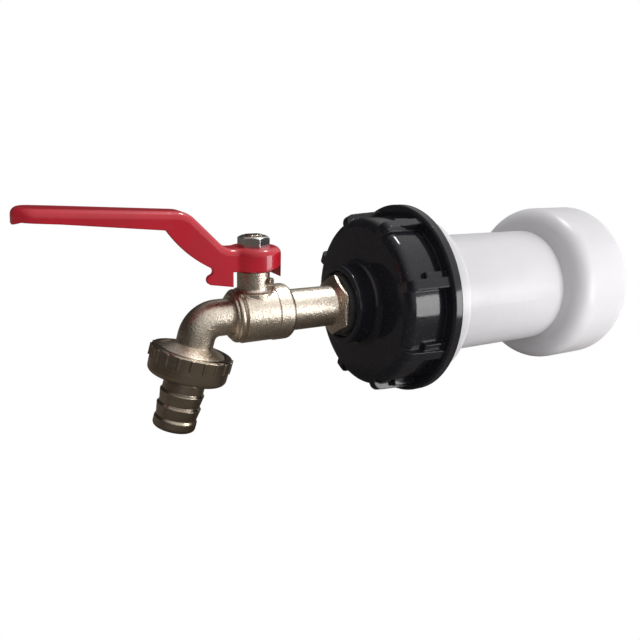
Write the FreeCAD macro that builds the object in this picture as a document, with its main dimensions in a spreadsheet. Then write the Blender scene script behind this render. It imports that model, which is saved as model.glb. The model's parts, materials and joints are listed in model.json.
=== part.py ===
"""Tank outlet valve: white plastic extension, black screw cap and a ball tap with a hose tail.

Frame: +Z up, the flow runs along -Y, the origin is the centre of the cup's open mouth, which
screws on the tank outlet. All sizes are in millimetres and sit in the sheet Sizes.
"""
import FreeCAD
import Part
import Sketcher
import math
import os

os.makedirs("parts", exist_ok=True)
doc = FreeCAD.newDocument("tank_outlet_valve")
sheet = doc.addObject("Spreadsheet::Sheet", "Sizes")

SIZES = {
    # white extension: cup with the female tank thread, shoulder, tube, collar, male end
    "cup_radius": 38.5, "cup_length": 21.3, "socket_radius": 30.15,
    "socket_wall": 18.0, "tank_gasket_thickness": 3.0, "tank_gasket_radius": 29.4,
    "tank_gasket_width": 5.9,
    "shoulder_round": 8.0, "shoulder_length": 9.0, "tube_radius": 27.4, "tube_bore": 22.5,
    "tube_length": 65.3, "collar_radius": 36.0, "collar_length": 10.0, "collar_edge": 1.0,
    "male_radius": 28.3, "male_length": 17.0, "cap_gap": 0.6,
    # black cap
    "cap_bore": 30.0, "cap_gasket_clearance": 0.3, "cap_gasket_thickness": 2.5, "cap_wall": 4.0,
    "flange_radius": 42.0,
    "flange_thickness": 4.14, "flange_edge": 0.8, "skirt_radius": 36.8, "skirt_round": 4.0,
    "boss_radius": 17.0, "boss_height": 10.4, "boss_fillet": 2.6, "boss_edge": 0.9,
    "recess_radius": 14.2, "recess_depth": 1.4, "recess_edge": 0.5,
    "rib_count": 8, "rib_start_angle": 22.5, "rib_radius": 40.2, "rib_drop": 0.9,
    "rib_width": 4.2, "rib_round": 3.6, "rib_edge": 0.9, "step_rib_radius": 38.6,
    "step_rib_width": 2.8, "step_rib_length": 10.0, "step_rib_edge": 0.7,
    # brass insert, inlet thread and washer
    "insert_radius": 12.6, "insert_length": 10.5, "inlet_thread_radius": 10.2,
    "inlet_thread_length": 12.5, "thread_clearance": 0.05, "cap_passage": 9.5,
    "inlet_washer_radius": 13.0, "inlet_washer_thickness": 3.0,
    # tap body
    "hex_across": 23.0, "hex_thickness": 3.2, "hex_front_chamfer": 2.2, "hex_back_chamfer": 0.6,
    "hex_back_inset": 1.2,
    "inlet_tube_radius": 8.6, "inlet_tube_length": 20.0, "body_shoulder_round": 2.9,
    "band_radius": 11.5, "band_length": 4.7, "chamber_radius": 11.15, "chamber_back": 7.5,
    "chamber_front": 6.2, "bead_gap": 0.7, "bead_low": 10.0, "bead_round": 1.3,
    "bead_length": 2.3, "nose_radius": 9.6, "nose_face_radius": 8.4, "nose_length": 1.3,
    "nose_round": 1.4, "lip_thickness": 1.2, "waterway": 5.5,
    "neck_radius": 6.5, "neck_height": 17.8, "neck_foot_radius": 8.2, "neck_foot_round": 1.7,
    "neck_foot_height": 11.4, "lug_radius": 1.7, "lug_reach": 8.4, "lug_height": 14.1,
    "lug_angle": 36.0, "pad_radius": 3.1, "pad_reach": 5.3, "pad_height": 11.9,
    "pad_angle": 12.0,
    # ball, seats and stem
    "ball_radius": 7.4, "ball_bore": 4.4, "ball_pocket": 8.0, "seat_clearance": 0.08,
    "seat_outer_clearance": 0.1, "seat_bore": 4.7, "seat_stem_gap": 0.15, "slot_width": 3.2,
    "slot_floor": 5.2, "stem_radius": 4.2, "stem_collar_radius": 5.0,
    "stem_collar_height": 9.0, "stem_collar_thickness": 1.4, "running_clearance": 0.05,
    "tang_clearance": 0.08, "tang_length": 6.4, "packing_radius": 5.2,
    "stem_washer_thickness": 0.6, "packing_thickness": 2.0, "gland_hex_across": 11.5,
    "gland_hex_height": 4.4, "stem_thread_radius": 3.45, "stem_flats": 5.2,
    # lever of pressed steel and its nut
    "hub_radius": 10.8, "lever_top": 27.6, "lever_wall": 2.0, "lever_round": 2.8,
    "grip_blend": 6.0, "grip_sag": 0.8, "lever_neck_round": 2.0,
    "skirt_bottom": 19.0, "tab_bottom": 15.8, "tab_start": 9.2, "skirt_rise": 1.6,
    "arm_half_width": 6.6, "thumb_half_width": 8.4, "thumb_length": 14.0,
    "lever_reach": 85.0, "thumb_round": 6.5, "arm_foot": 13.1, "arm_head": 27.8,
    "grip_low": 42.1, "grip_high": 44.7, "inner_bend": 8.0, "outer_bend": 10.0,
    "grip_depth_far": 4.6, "lip_drop": 0.9, "lip_width": 2.4,
    "grip_near": 36.2, "grip_near_low": 35.8, "slope_from": 32.8, "slope_from_low": 35.3,
    "slope_belly": 58.0, "plate_belly": 46.0, "slope_foot": 14.8, "notch_at": 20.1,
    "notch_top": 21.3, "notch_round": 1.5,
    "notch_width": 2.9,
    "toe_round": 1.9, "toe_at": 19.5, "toe_low": 14.7, "stop_back": 11.0,
    "stop_low": 13.3, "plate_depth": 4.0,
    "nut_across": 11.0, "nut_height": 4.0, "nut_chamfer": 0.6, "nut_top_radius": 5.1,
    "stem_stick_out": 0.5,
    # spout and union
    "spout_radius": 7.3, "spout_wall": 1.8, "elbow_radius": 8.8,
    "elbow_start": 15.4, "outlet_tilt": 15.95, "outlet_drop": 5.9, "outlet_head_radius": 13.1,
    "outlet_thread_root": 12.2, "outlet_head_flange": 1.2,
    "outlet_head_length": 5.6, "outlet_cone": 2.4, "outlet_head_edge": 0.6,
    "union_clearance": 0.15, "union_radius": 15.9, "union_height": 10.9,
    "union_shoulder": 1.9, "union_round": 2.4, "union_taper": 0.3, "union_rim": 1.0,
    "union_rib_count": 20, "union_rib_length": 4.5, "union_rib_width": 1.3,
    "union_rib_height": 0.6, "union_rib_root": 1.0, "hose_gasket_thickness": 1.8,
    "hose_gasket_width": 5.8, "tail_flange_radius": 12.8,
    "tail_flange_thickness": 1.6, "tail_neck_radius": 8.15, "tail_neck_length": 5.2,
    "tail_clearance": 0.3, "tail_bore": 6.0, "barb_radius": 8.75, "barb_root": 8.0,
    "barb_count": 3, "barb_pitch": 5.45, "barb_lead": 0.9, "spigot_radius": 8.5,
    "spigot_length": 2.4,
    "tail_end_round": 1.6,
    # how far a shape that cuts or is cut away runs past the piece
    "cut_over": 1.0,
}

for row, (alias, size) in enumerate(SIZES.items(), start=1):
    sheet.set(f"A{row}", alias)
    sheet.set(f"B{row}", str(size))
    sheet.setAlias(f"B{row}", alias)
doc.recompute()


class Size:
    """A length or angle: its present value and the expression that binds it to the sheet."""

    def __init__(self, value, text):
        self.value = float(value)
        self.text = text

    def combine(self, other, sign, value):
        return Size(value, f"({self.text} {sign} {as_size(other).text})")

    def __add__(self, other):
        return self.combine(other, "+", self.value + as_size(other).value)

    def __sub__(self, other):
        return self.combine(other, "-", self.value - as_size(other).value)

    def __mul__(self, other):
        return self.combine(other, "*", self.value * as_size(other).value)

    def __truediv__(self, other):
        return self.combine(other, "/", self.value / as_size(other).value)

    def __neg__(self):
        return Size(-self.value, f"(0 - {self.text})")

    __radd__ = __add__
    __rmul__ = __mul__

    def __rsub__(self, other):
        return as_size(other) - self


def as_size(number):
    return number if isinstance(number, Size) else Size(number, str(number))


def sine(angle):
    return Size(math.sin(math.radians(angle.value)), f"sin({angle.text})")


def cosine(angle):
    return Size(math.cos(math.radians(angle.value)), f"cos({angle.text})")


def square(size):
    return size * size


def root(size):
    return Size(math.sqrt(size.value), f"sqrt({size.text})")


def arctangent(slope):
    return Size(math.degrees(math.atan(slope.value)), f"atan({slope.text})")


class Named:
    """Reads a size by its name: of.cup_radius."""

    def __getattr__(self, alias):
        return Size(getattr(sheet, alias), f"Sizes.{alias}")


of = Named()
NEAR = 0.01  # mm within which two places count as one
UPWARD = 0.3  # least upward share of the normal of a face that counts as a top
UPRIGHT = 0.98  # least upward share of the direction of an upright edge
SQUARE_ROOT_3 = math.sqrt(3.0)
RIGHT_ANGLE = 90
NEARLY_HALF_ROUND = 1.02  # an arc's radius over half its chord, just short of a half round


# ---------------------------------------------------------------- sketches and features
def bind(item, prop, size):
    item.setExpression(prop, as_size(size).text)


def new_body(label):
    body = doc.addObject("PartDesign::Body", label)
    body.Label = label
    return body


def place(body, along=None, up=None, axis=None, angle=None):
    """Put a piece at (0, along, up), turned by angle about axis."""
    rotation = FreeCAD.Rotation(axis or FreeCAD.Vector(0, 0, 1), angle.value if angle else 0)
    body.Placement = FreeCAD.Placement(FreeCAD.Vector(0, 0, 0), rotation)
    if along is not None:
        bind(body, "Placement.Base.y", along)
    if up is not None:
        bind(body, "Placement.Base.z", up)
    if angle is not None:
        bind(body, "Placement.Rotation.Angle", angle)
    return body


def plane_of(body, role):
    return next(f for f in body.Origin.OriginFeatures if f.Role == role)


def new_sketch(body, name, role, lift=None):
    """A sketch on one of the piece's own planes, lifted along the plane's normal."""
    if body is None:
        sketch = doc.addObject("Sketcher::SketchObject", name)
        turns = {"XY_Plane": ((1, 0, 0), 0), "XZ_Plane": ((1, 0, 0), 90),
                 "YZ_Plane": ((1, 1, 1), 120)}
        axis, angle = turns[role]
        sketch.Placement.Rotation = FreeCAD.Rotation(FreeCAD.Vector(*axis), angle)
        return sketch
    sketch = body.newObject("Sketcher::SketchObject", name)
    sketch.AttachmentSupport = [(plane_of(body, role), "")]
    sketch.MapMode = "FlatFace"
    if lift is not None:
        bind(sketch, "AttachmentOffset.Base.z", lift)
    return sketch


def arc_between(start, end, radius, left):
    """The short arc from start to end; left tells whether it bulges to the left of the way."""
    chord = end - start
    half = chord.Length / 2
    rise = math.sqrt(max(radius * radius - half * half, 0.0))
    side = FreeCAD.Vector(-chord.y, chord.x, 0).normalize()
    centre = start + chord * 0.5 - side * (rise if left else -rise)
    circle = Part.Circle(centre, FreeCAD.Vector(0, 0, 1), radius)
    first, last = (end, start) if left else (start, end)
    return Part.ArcOfCircle(circle, circle.parameter(first), circle.parameter(last))


def outline(sketch, corners, closed=True):
    """Lines and arcs through the corners, each coordinate bound to the sheet.

    A corner is (u, v) for a line to the next corner, or (u, v, radius, side) for an arc.
    """
    points = [FreeCAD.Vector(as_size(c[0]).value, as_size(c[1]).value, 0) for c in corners]
    pairs = list(zip(range(len(corners)), list(range(1, len(corners))) + [0]))
    if not closed:
        pairs = pairs[:-1]
    first_id = sketch.GeometryCount
    for here, there in pairs:
        if len(corners[here]) == 4:
            left = corners[here][3] == "left"
            radius = as_size(corners[here][2]).value
            sketch.addGeometry(arc_between(points[here], points[there], radius, left), False)
        else:
            sketch.addGeometry(Part.LineSegment(points[here], points[there]), False)

    def ends(here):
        """The sketcher's numbers for the start and the end of one piece of the outline."""
        turned = len(corners[here]) == 4 and corners[here][3] == "left"
        return (2, 1) if turned else (1, 2)

    for here, there in pairs:
        last = not closed and there == len(corners) - 1
        if not last:
            sketch.addConstraint(Sketcher.Constraint(
                "Coincident", first_id + here, ends(here)[1], first_id + there, ends(there)[0]))
        fixed = [(here, ends(here)[0], corners[here])]
        if last:
            fixed.append((here, ends(here)[1], corners[there]))
        for line, end, corner in fixed:
            for kind, coordinate in (("DistanceX", corner[0]), ("DistanceY", corner[1])):
                number = sketch.addConstraint(Sketcher.Constraint(
                    kind, -1, 1, first_id + line, end, as_size(coordinate).value))
                bind(sketch, f"Constraints[{number}]", coordinate)
        if len(corners[here]) == 4:
            number = sketch.addConstraint(Sketcher.Constraint(
                "Radius", first_id + here, as_size(corners[here][2]).value))
            bind(sketch, f"Constraints[{number}]", corners[here][2])
    return sketch


def circle(sketch, radius):
    number = sketch.addGeometry(
        Part.Circle(FreeCAD.Vector(0, 0, 0), FreeCAD.Vector(0, 0, 1), as_size(radius).value), False)
    sketch.addConstraint(Sketcher.Constraint("Coincident", number, 3, -1, 1))
    held = sketch.addConstraint(Sketcher.Constraint("Radius", number, as_size(radius).value))
    bind(sketch, f"Constraints[{held}]", radius)
    return sketch


def hexagon(across):
    """Corners of a hexagon with one corner on the sketch's vertical axis."""
    half, corner = across / 2, across / SQUARE_ROOT_3
    return [(as_size(0), corner), (half, corner / 2), (half, -corner / 2),
            (as_size(0), -corner), (-half, -corner / 2), (-half, corner / 2)]


def turned(body, name, role, corners, kind="PartDesign::Revolution"):
    """A profile turned fully about the sketch's vertical axis, added or cut away."""
    sketch = outline(new_sketch(body, name + "_profile", role), corners)
    feature = body.newObject(kind, name)
    feature.Profile = sketch
    feature.ReferenceAxis = (sketch, ["V_Axis"])
    feature.Angle = 360
    return feature


def padded(body, name, role, draw, length, lift=None, both=False, kind="PartDesign::Pad"):
    sketch = draw(new_sketch(body, name + "_outline", role, lift))
    feature = body.newObject(kind, name)
    feature.Profile = sketch
    bind(feature, "Length", length)
    if both:
        feature.Midplane = True
    return feature


def ring(label, inner, outer, low, high, role, **where):
    """A plain ring between two radii and two heights."""
    body = new_body(label)
    turned(body, label + "_ring", role,
           [(inner, low), (outer, low), (outer, high), (inner, high)])
    return place(body, **where)


def polar(body, name, originals, axis_role, count):
    pattern = body.newObject("PartDesign::PolarPattern", name)
    pattern.Originals = originals
    pattern.Axis = (plane_of(body, axis_role), [""])
    pattern.Angle = 360
    bind(pattern, "Occurrences", count)
    body.Tip = pattern
    return pattern


# ---------------------------------------------------------------- places along the flow
shoulder_at = -of.cup_length
tube_at = shoulder_at - of.shoulder_length
collar_at = tube_at - of.tube_length
collar_end = collar_at - of.collar_length
cap_back = collar_end - of.cap_gap
male_end = collar_end - of.male_length
cap_floor = male_end - of.cap_gasket_thickness
cap_front = cap_floor - of.cap_wall
boss_front = cap_front - of.boss_height
recess_floor = boss_front + of.recess_depth
hex_back = recess_floor - of.inlet_washer_thickness
stem_at = (hex_back - of.hex_thickness - of.inlet_tube_length - of.body_shoulder_round
           - of.band_length - of.chamber_back)
gasket_face = -of.socket_wall
nose_start = -(of.chamber_front + of.bead_gap + of.bead_length)
nose_face = nose_start - of.nose_length


# ---------------------------------------------------------------- white extension
def make_extension_tube():
    body = new_body("extension_tube")
    socket_floor = gasket_face - of.tank_gasket_thickness
    shoulder_low = of.cup_radius - of.shoulder_round
    turned(body, "extension_shell", "XY_Plane", [
        (of.tube_bore, socket_floor),
        (of.tank_gasket_radius, socket_floor),
        (of.tank_gasket_radius, gasket_face),
        (of.socket_radius, gasket_face),
        (of.socket_radius, as_size(0)),
        (of.cup_radius, as_size(0)),
        (of.cup_radius, shoulder_at, of.shoulder_round, "left"),
        (shoulder_low, shoulder_at - of.shoulder_round),
        (of.tube_radius, tube_at),
        (of.tube_radius, collar_at),
        (of.collar_radius - of.collar_edge, collar_at),
        (of.collar_radius, collar_at - of.collar_edge),
        (of.collar_radius, collar_end),
        (of.male_radius, collar_end),
        (of.male_radius, male_end),
        (of.tube_bore, male_end),
    ])
    return body


# ---------------------------------------------------------------- black cap
def make_cap_nut():
    body = new_body("cap_nut")
    flange_front = cap_back - of.flange_thickness
    insert_back = recess_floor + of.insert_length
    turned(body, "cap_shell", "XY_Plane", [
        (of.cap_bore, cap_back),
        (of.flange_radius, cap_back),
        (of.flange_radius, flange_front + of.flange_edge),
        (of.flange_radius - of.flange_edge, flange_front),
        (of.skirt_radius, flange_front),
        (of.skirt_radius, cap_front + of.skirt_round, of.skirt_round, "left"),
        (of.skirt_radius - of.skirt_round, cap_front),
        (of.boss_radius + of.boss_fillet, cap_front, of.boss_fillet, "right"),
        (of.boss_radius, cap_front - of.boss_fillet),
        (of.boss_radius, boss_front + of.boss_edge, of.boss_edge, "left"),
        (of.boss_radius - of.boss_edge, boss_front),
        (of.recess_radius + of.recess_edge, boss_front),
        (of.recess_radius, boss_front + of.recess_edge),
        (of.recess_radius, recess_floor),
        (of.insert_radius, recess_floor),
        (of.insert_radius, insert_back),
        (of.cap_passage, insert_back),
        (of.cap_passage, cap_floor),
        (of.cap_bore, cap_floor),
    ])
    rib_root = of.skirt_radius - of.rib_edge
    crest_end = of.rib_radius - of.rib_drop
    rib = padded(body, "grip_rib", "XY_Plane", lambda sketch: outline(sketch, [
        (rib_root - of.skirt_round, flange_front),
        (of.rib_radius, flange_front),
        (crest_end, cap_front + of.rib_round, of.rib_round, "left"),
        (crest_end - of.rib_round, cap_front),
        (rib_root - of.skirt_round, cap_front),
    ]), of.rib_width, both=True)
    step_end = flange_front - of.step_rib_length
    step = padded(body, "step_rib", "XY_Plane", lambda sketch: outline(sketch, [
        (rib_root, flange_front),
        (of.step_rib_radius, flange_front),
        (of.step_rib_radius, step_end + of.step_rib_edge, of.step_rib_edge, "left"),
        (of.step_rib_radius - of.step_rib_edge, step_end),
        (rib_root, step_end),
    ]), of.rib_width / 2 + of.step_rib_width)
    polar(body, "grip_ribs", [rib, step], "Y_Axis", of.rib_count)
    return place(body, axis=FreeCAD.Vector(0, 1, 0), angle=-of.rib_start_angle)


# ---------------------------------------------------------------- tap body
def make_valve_body():
    """Origin of this piece: where the stem's axis crosses the flow."""
    body = new_body("valve_body")
    band_at = of.chamber_back + of.band_length
    tube_from = band_at + of.body_shoulder_round
    hex_front = tube_from + of.inlet_tube_length
    hex_end = hex_front + of.hex_thickness
    thread_end = hex_end + of.inlet_thread_length
    bead_start = -(of.chamber_front + of.bead_gap)
    padded(body, "wrench_hex", "XZ_Plane", lambda sketch: outline(
        sketch, hexagon(of.hex_across)), of.hex_thickness, lift=-hex_end)
    corner = of.hex_across / SQUARE_ROOT_3
    far = corner + of.cut_over
    turned(body, "hex_front_bevel", "XY_Plane", [
        (of.inlet_tube_radius, hex_front), (far, hex_front - of.cut_over),
        (far, hex_front + of.hex_front_chamfer),
        (corner, hex_front + of.hex_front_chamfer)], "PartDesign::Groove")
    turned(body, "hex_back_bevel", "XY_Plane", [
        (corner - of.hex_back_inset, hex_end), (corner, hex_end - of.hex_back_chamfer),
        (far, hex_end - of.hex_back_chamfer), (far, hex_end + of.cut_over),
        (corner - of.hex_back_inset, hex_end + of.cut_over)], "PartDesign::Groove")
    turned(body, "casting", "XY_Plane", [
        (as_size(0), thread_end),
        (of.inlet_thread_radius, thread_end),
        (of.inlet_thread_radius, hex_end),
        (of.inlet_tube_radius, hex_end),
        (of.inlet_tube_radius, tube_from, of.body_shoulder_round, "left"),
        (of.band_radius, band_at),
        (of.band_radius, of.chamber_back),
        (of.chamber_radius, of.chamber_back),
        (of.chamber_radius, -of.chamber_front),
        (of.bead_low, -of.chamber_front),
        (of.bead_low, bead_start, of.bead_round, "left"),
        (of.bead_low, nose_start),
        (of.nose_radius, nose_start, of.nose_round, "left"),
        (of.nose_face_radius, nose_face),
        (as_size(0), nose_face),
    ])
    turned(body, "neck", "XZ_Plane", [
        (as_size(0), as_size(0)), (of.neck_foot_radius, as_size(0)),
        (of.neck_foot_radius, of.neck_foot_height - of.neck_foot_round,
         of.neck_foot_round, "left"),
        (of.neck_radius, of.neck_foot_height), (of.neck_radius, of.neck_height),
        (as_size(0), of.neck_height)])
    for name, radius, reach, height, angle in (
            ("stop_lug", of.lug_radius, of.lug_reach, of.lug_height, of.lug_angle),
            ("lug_pad", of.pad_radius, of.pad_reach, of.pad_height - of.pad_radius,
             of.pad_angle)):
        lug = body.newObject("PartDesign::AdditiveCylinder", name)
        bind(lug, "Radius", radius)
        bind(lug, "Height", reach)
        lug.Placement.Rotation = (FreeCAD.Rotation(FreeCAD.Vector(0, 0, 1), angle.value)
                                  * FreeCAD.Rotation(FreeCAD.Vector(0, 1, 0), RIGHT_ANGLE))
        bind(lug, "Placement.Base.z", height)
    spout_hole = of.spout_radius + of.running_clearance
    turned(body, "waterway_cut", "XY_Plane", [
        (as_size(0), thread_end + of.cut_over), (of.waterway, thread_end + of.cut_over),
        (of.waterway, of.ball_radius), (of.ball_pocket, of.ball_radius),
        (of.ball_pocket, nose_face + of.lip_thickness),
        (spout_hole, nose_face + of.lip_thickness),
        (spout_hole, nose_face - of.cut_over), (as_size(0), nose_face - of.cut_over)],
        "PartDesign::Groove")
    stem_hole = of.stem_radius + of.running_clearance
    turned(body, "stem_cut", "XZ_Plane", [
        (as_size(0), as_size(0)), (stem_hole, as_size(0)), (stem_hole, of.stem_collar_height),
        (of.packing_radius, of.stem_collar_height),
        (of.packing_radius, of.neck_height + of.cut_over),
        (as_size(0), of.neck_height + of.cut_over)], "PartDesign::Groove")
    return place(body, along=stem_at)


# ---------------------------------------------------------------- ball, seats and stem
def make_ball():
    ball = doc.addObject("Part::Sphere", "ball_blank")
    bind(ball, "Radius", of.ball_radius)
    bore = doc.addObject("Part::Cylinder", "ball_bore_cut")
    bind(bore, "Radius", of.ball_bore)
    bind(bore, "Height", of.ball_radius * 2)
    bore.Placement.Rotation = FreeCAD.Rotation(FreeCAD.Vector(1, 0, 0), RIGHT_ANGLE)
    bind(bore, "Placement.Base.y", of.ball_radius)
    slot = doc.addObject("Part::Box", "ball_slot_cut")
    bind(slot, "Length", of.slot_width)
    bind(slot, "Width", of.ball_radius * 2)
    bind(slot, "Height", of.ball_radius)
    bind(slot, "Placement.Base.x", -of.slot_width / 2)
    bind(slot, "Placement.Base.y", -of.ball_radius)
    bind(slot, "Placement.Base.z", of.slot_floor)
    bored = doc.addObject("Part::Cut", "ball_bored")
    bored.Base = ball
    bored.Tool = bore
    cut = doc.addObject("Part::Cut", "ball")
    cut.Label = "ball"
    cut.Base = bored
    cut.Tool = slot
    return place(cut, along=stem_at)


def make_seat(label, side):
    """A ring whose 45-degree cone stands just off the ball; side is +1 inlet, -1 outlet.

    It reaches forward only as far as the stem's foot leaves room.
    """
    body = new_body(label)
    outer = of.ball_pocket - of.seat_outer_clearance
    front = of.stem_radius + of.seat_stem_gap
    reach = (of.ball_radius + of.seat_clearance) * math.sqrt(2.0)
    turned(body, label + "_ring", "XY_Plane", [
        (of.seat_bore, of.ball_radius * side),
        (outer, of.ball_radius * side),
        (outer, front * side),
        (reach - front, front * side),
        (of.seat_bore, (reach - of.seat_bore) * side),
    ])
    return place(body, along=stem_at)


def double_flat(sketch, radius, flats):
    """A round with two flats, facing +X and -X."""
    half = flats / 2
    rise = Size(math.sqrt(radius.value ** 2 - half.value ** 2),
                f"sqrt({radius.text} ^ 2 - {half.text} ^ 2)")
    return outline(sketch, [
        (half, -rise), (half, rise, radius, "right"), (-half, rise), (-half, -rise, radius, "right")])


nut_top = of.lever_top + of.nut_height


def make_stem():
    body = new_body("stem")
    collar_top = of.stem_collar_height + of.stem_collar_thickness
    plate_bottom = of.lever_top - of.lever_wall
    shaft_foot = of.ball_radius + of.tang_clearance
    turned(body, "stem_shaft", "XZ_Plane", [
        (as_size(0), shaft_foot), (of.stem_radius, shaft_foot),
        (of.stem_radius, of.stem_collar_height), (of.stem_collar_radius, of.stem_collar_height),
        (of.stem_collar_radius, collar_top), (of.stem_radius, collar_top),
        (of.stem_radius, plate_bottom), (as_size(0), plate_bottom)])
    tang_width = of.slot_width - 2 * of.tang_clearance
    half_tang = of.tang_length / 2
    tang_low = of.slot_floor + of.tang_clearance
    padded(body, "stem_tang", "XY_Plane", lambda sketch: outline(sketch, [
        (-tang_width / 2, -half_tang), (tang_width / 2, -half_tang),
        (tang_width / 2, half_tang), (-tang_width / 2, half_tang)]),
        shaft_foot - tang_low, lift=tang_low)
    end = padded(body, "stem_top", "XY_Plane",
                 lambda sketch: double_flat(sketch, of.stem_thread_radius, of.stem_flats),
                 nut_top + of.stem_stick_out - plate_bottom, lift=plate_bottom)
    body.Tip = end
    return place(body, along=stem_at)


def make_gland_nut():
    body = new_body("gland_nut")
    bore = of.stem_radius + of.running_clearance
    packing_top = (of.stem_collar_height + of.stem_collar_thickness
                   + of.stem_washer_thickness + of.packing_thickness)
    padded(body, "gland_hex", "XY_Plane", lambda sketch: outline(
        sketch, hexagon(of.gland_hex_across)), of.gland_hex_height, lift=of.neck_height)
    turned(body, "gland_thread", "XZ_Plane", [
        (as_size(0), packing_top), (of.packing_radius - of.running_clearance, packing_top),
        (of.packing_radius - of.running_clearance, of.neck_height),
        (as_size(0), of.neck_height)])
    low = packing_top - of.cut_over
    high = of.neck_height + of.gland_hex_height + of.cut_over
    turned(body, "gland_bore", "XZ_Plane", [
        (as_size(0), low), (bore, low), (bore, high), (as_size(0), high)],
        "PartDesign::Groove")
    return place(body, along=stem_at)


# ---------------------------------------------------------------- lever
thumb_start = of.lever_reach - of.thumb_length
wider_than_lever = of.hub_radius * 4
taller_than_lever = of.grip_high * 3


def extrusion(name, sketch, length):
    """A sketch's outline drawn out both ways from its plane, over the length in all."""
    solid = doc.addObject("Part::Extrusion", name)
    solid.Base = sketch
    solid.DirMode = "Normal"
    solid.Solid = True
    solid.Symmetric = True
    bind(solid, "LengthFwd", length)
    return solid


def boolean(kind, name, shapes):
    result = doc.addObject(kind, name)
    result.Shapes = shapes
    return result


def cut(name, base, tool):
    result = doc.addObject("Part::Cut", name)
    result.Base = base
    result.Tool = tool
    return result


def rounded(name, base, edges):
    """The base with (edge number, radius) pairs rounded."""
    doc.recompute()
    result = doc.addObject("Part::Fillet", name)
    result.Base = base
    result.Edges = [(number, size.value, size.value) for number, size in edges(base.Shape)]
    return result


def arm_side(name, wall):
    """The arm and grip from the side; with a wall, the outline of the hollow under them."""
    slope = (of.grip_low - of.lever_top) / (of.arm_head - of.arm_foot)
    lean = Size(math.sqrt(1 + slope.value ** 2), f"sqrt(1 + {slope.text} ^ 2)")
    shift = wall * (lean - 1) / slope
    foot = -(of.arm_foot + shift)
    head = -(of.arm_head + shift)
    rise = (of.grip_high - of.grip_low) / (of.lever_reach - of.arm_head)
    tip = -(of.lever_reach + of.cut_over)
    top = [(as_size(0), of.lever_top - wall), (foot, of.lever_top - wall),
           (head, of.grip_low - wall), (tip, of.grip_high - wall + rise * of.cut_over)]
    sketch = new_sketch(None, name, "YZ_Plane")
    if wall.value > 0:
        return outline(sketch, top + [(tip, as_size(0)), (as_size(0), as_size(0))])
    low = of.grip_high - of.grip_depth_far
    return outline(sketch, top + [
        (tip, low - of.lip_drop),
        (-of.lever_reach, low - of.lip_drop),
        (-of.lever_reach + of.lip_width, low),
        (-thumb_start, low - of.grip_sag),
        (-of.grip_near, of.grip_near_low),
        (-of.slope_from, of.slope_from_low, of.slope_belly, "right"),
        (-of.slope_foot, of.skirt_bottom),
        (as_size(0), of.skirt_bottom),
    ])


def stop_plate():
    """The wall on the +X side reaches lower and ends in the tab that meets the body's lug."""
    sketch = outline(new_sketch(None, "stop_outline", "YZ_Plane"), [
        (-of.grip_near, of.grip_near_low, of.plate_belly, "right"),
        (-of.notch_at, of.notch_top, of.notch_round, "left"),
        (-of.notch_at, of.notch_top - of.notch_width, of.toe_round, "right"),
        (-of.toe_at, of.toe_low),
        (-of.stop_back, of.stop_low),
        (-of.stop_back, of.skirt_bottom),
        (-of.hub_radius + of.lever_wall, of.skirt_bottom),
        (-of.hub_radius + of.lever_wall, of.notch_top + of.plate_depth),
        (-of.notch_at, of.notch_top + of.plate_depth),
        (-of.grip_near, of.grip_near_low + of.plate_depth),
    ])
    bind(sketch, "Placement.Base.x", of.arm_half_width - of.lever_wall / 2)
    return extrusion("stop_plate", sketch, of.lever_wall)


def arm_plan(name, wall):
    """The arm and grip from above, drawn in the slightly rising plane of the grip's top."""
    arm = of.arm_half_width - wall
    thumb = of.thumb_half_width - wall
    tip = -(of.lever_reach - wall)
    end_round = of.thumb_round - wall
    grip_from = -(of.arm_head + of.grip_blend)
    rise = (of.grip_high - of.grip_low) / (of.lever_reach - of.arm_head)
    sketch = new_sketch(None, name, "XY_Plane")
    sketch.Placement.Rotation = FreeCAD.Rotation(FreeCAD.Vector(-1, 0, 0), arctangent(rise).value)
    bind(sketch, "Placement.Rotation.Angle", arctangent(rise))
    bind(sketch, "Placement.Base.z", of.grip_high - of.lever_reach * rise)
    return outline(sketch, [
        (arm, as_size(0)),
        (arm, grip_from),
        (thumb, -thumb_start),
        (thumb, tip + end_round, end_round, "left"),
        (thumb - end_round, tip),
        (-(thumb - end_round), tip, end_round, "left"),
        (-thumb, tip + end_round),
        (-thumb, -thumb_start),
        (-arm, grip_from),
        (-arm, as_size(0)),
    ])


def hub_blank(name, wall):
    """The round cap over the stem; with a wall, the hollow under it."""
    solid = doc.addObject("Part::Cylinder", name)
    bind(solid, "Radius", of.hub_radius - wall)
    low = as_size(0) if wall.value > 0 else of.tab_bottom
    bind(solid, "Placement.Base.z", low)
    bind(solid, "Height", of.lever_top - wall - low)
    return solid


def under_hub():
    """Room under the hub: its skirt rises a little towards the rear and ends in a tab there."""
    low = of.tab_bottom - of.cut_over
    front = -(of.hub_radius + of.cut_over)
    return extrusion("hub_under", outline(new_sketch(None, "hub_under_outline", "YZ_Plane"), [
        (front, of.skirt_bottom), (as_size(0), of.skirt_bottom),
        (of.tab_start, of.skirt_bottom + of.skirt_rise), (of.tab_start, low),
        (front, low)]), wider_than_lever)


def arm_blank(name, wall):
    side = extrusion(name + "_side", arm_side(name + "_side_outline", wall), wider_than_lever)
    plan = extrusion(name + "_plan", arm_plan(name + "_plan_outline", wall), taller_than_lever)
    return boolean("Part::MultiCommon", name, [side, plan])


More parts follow.
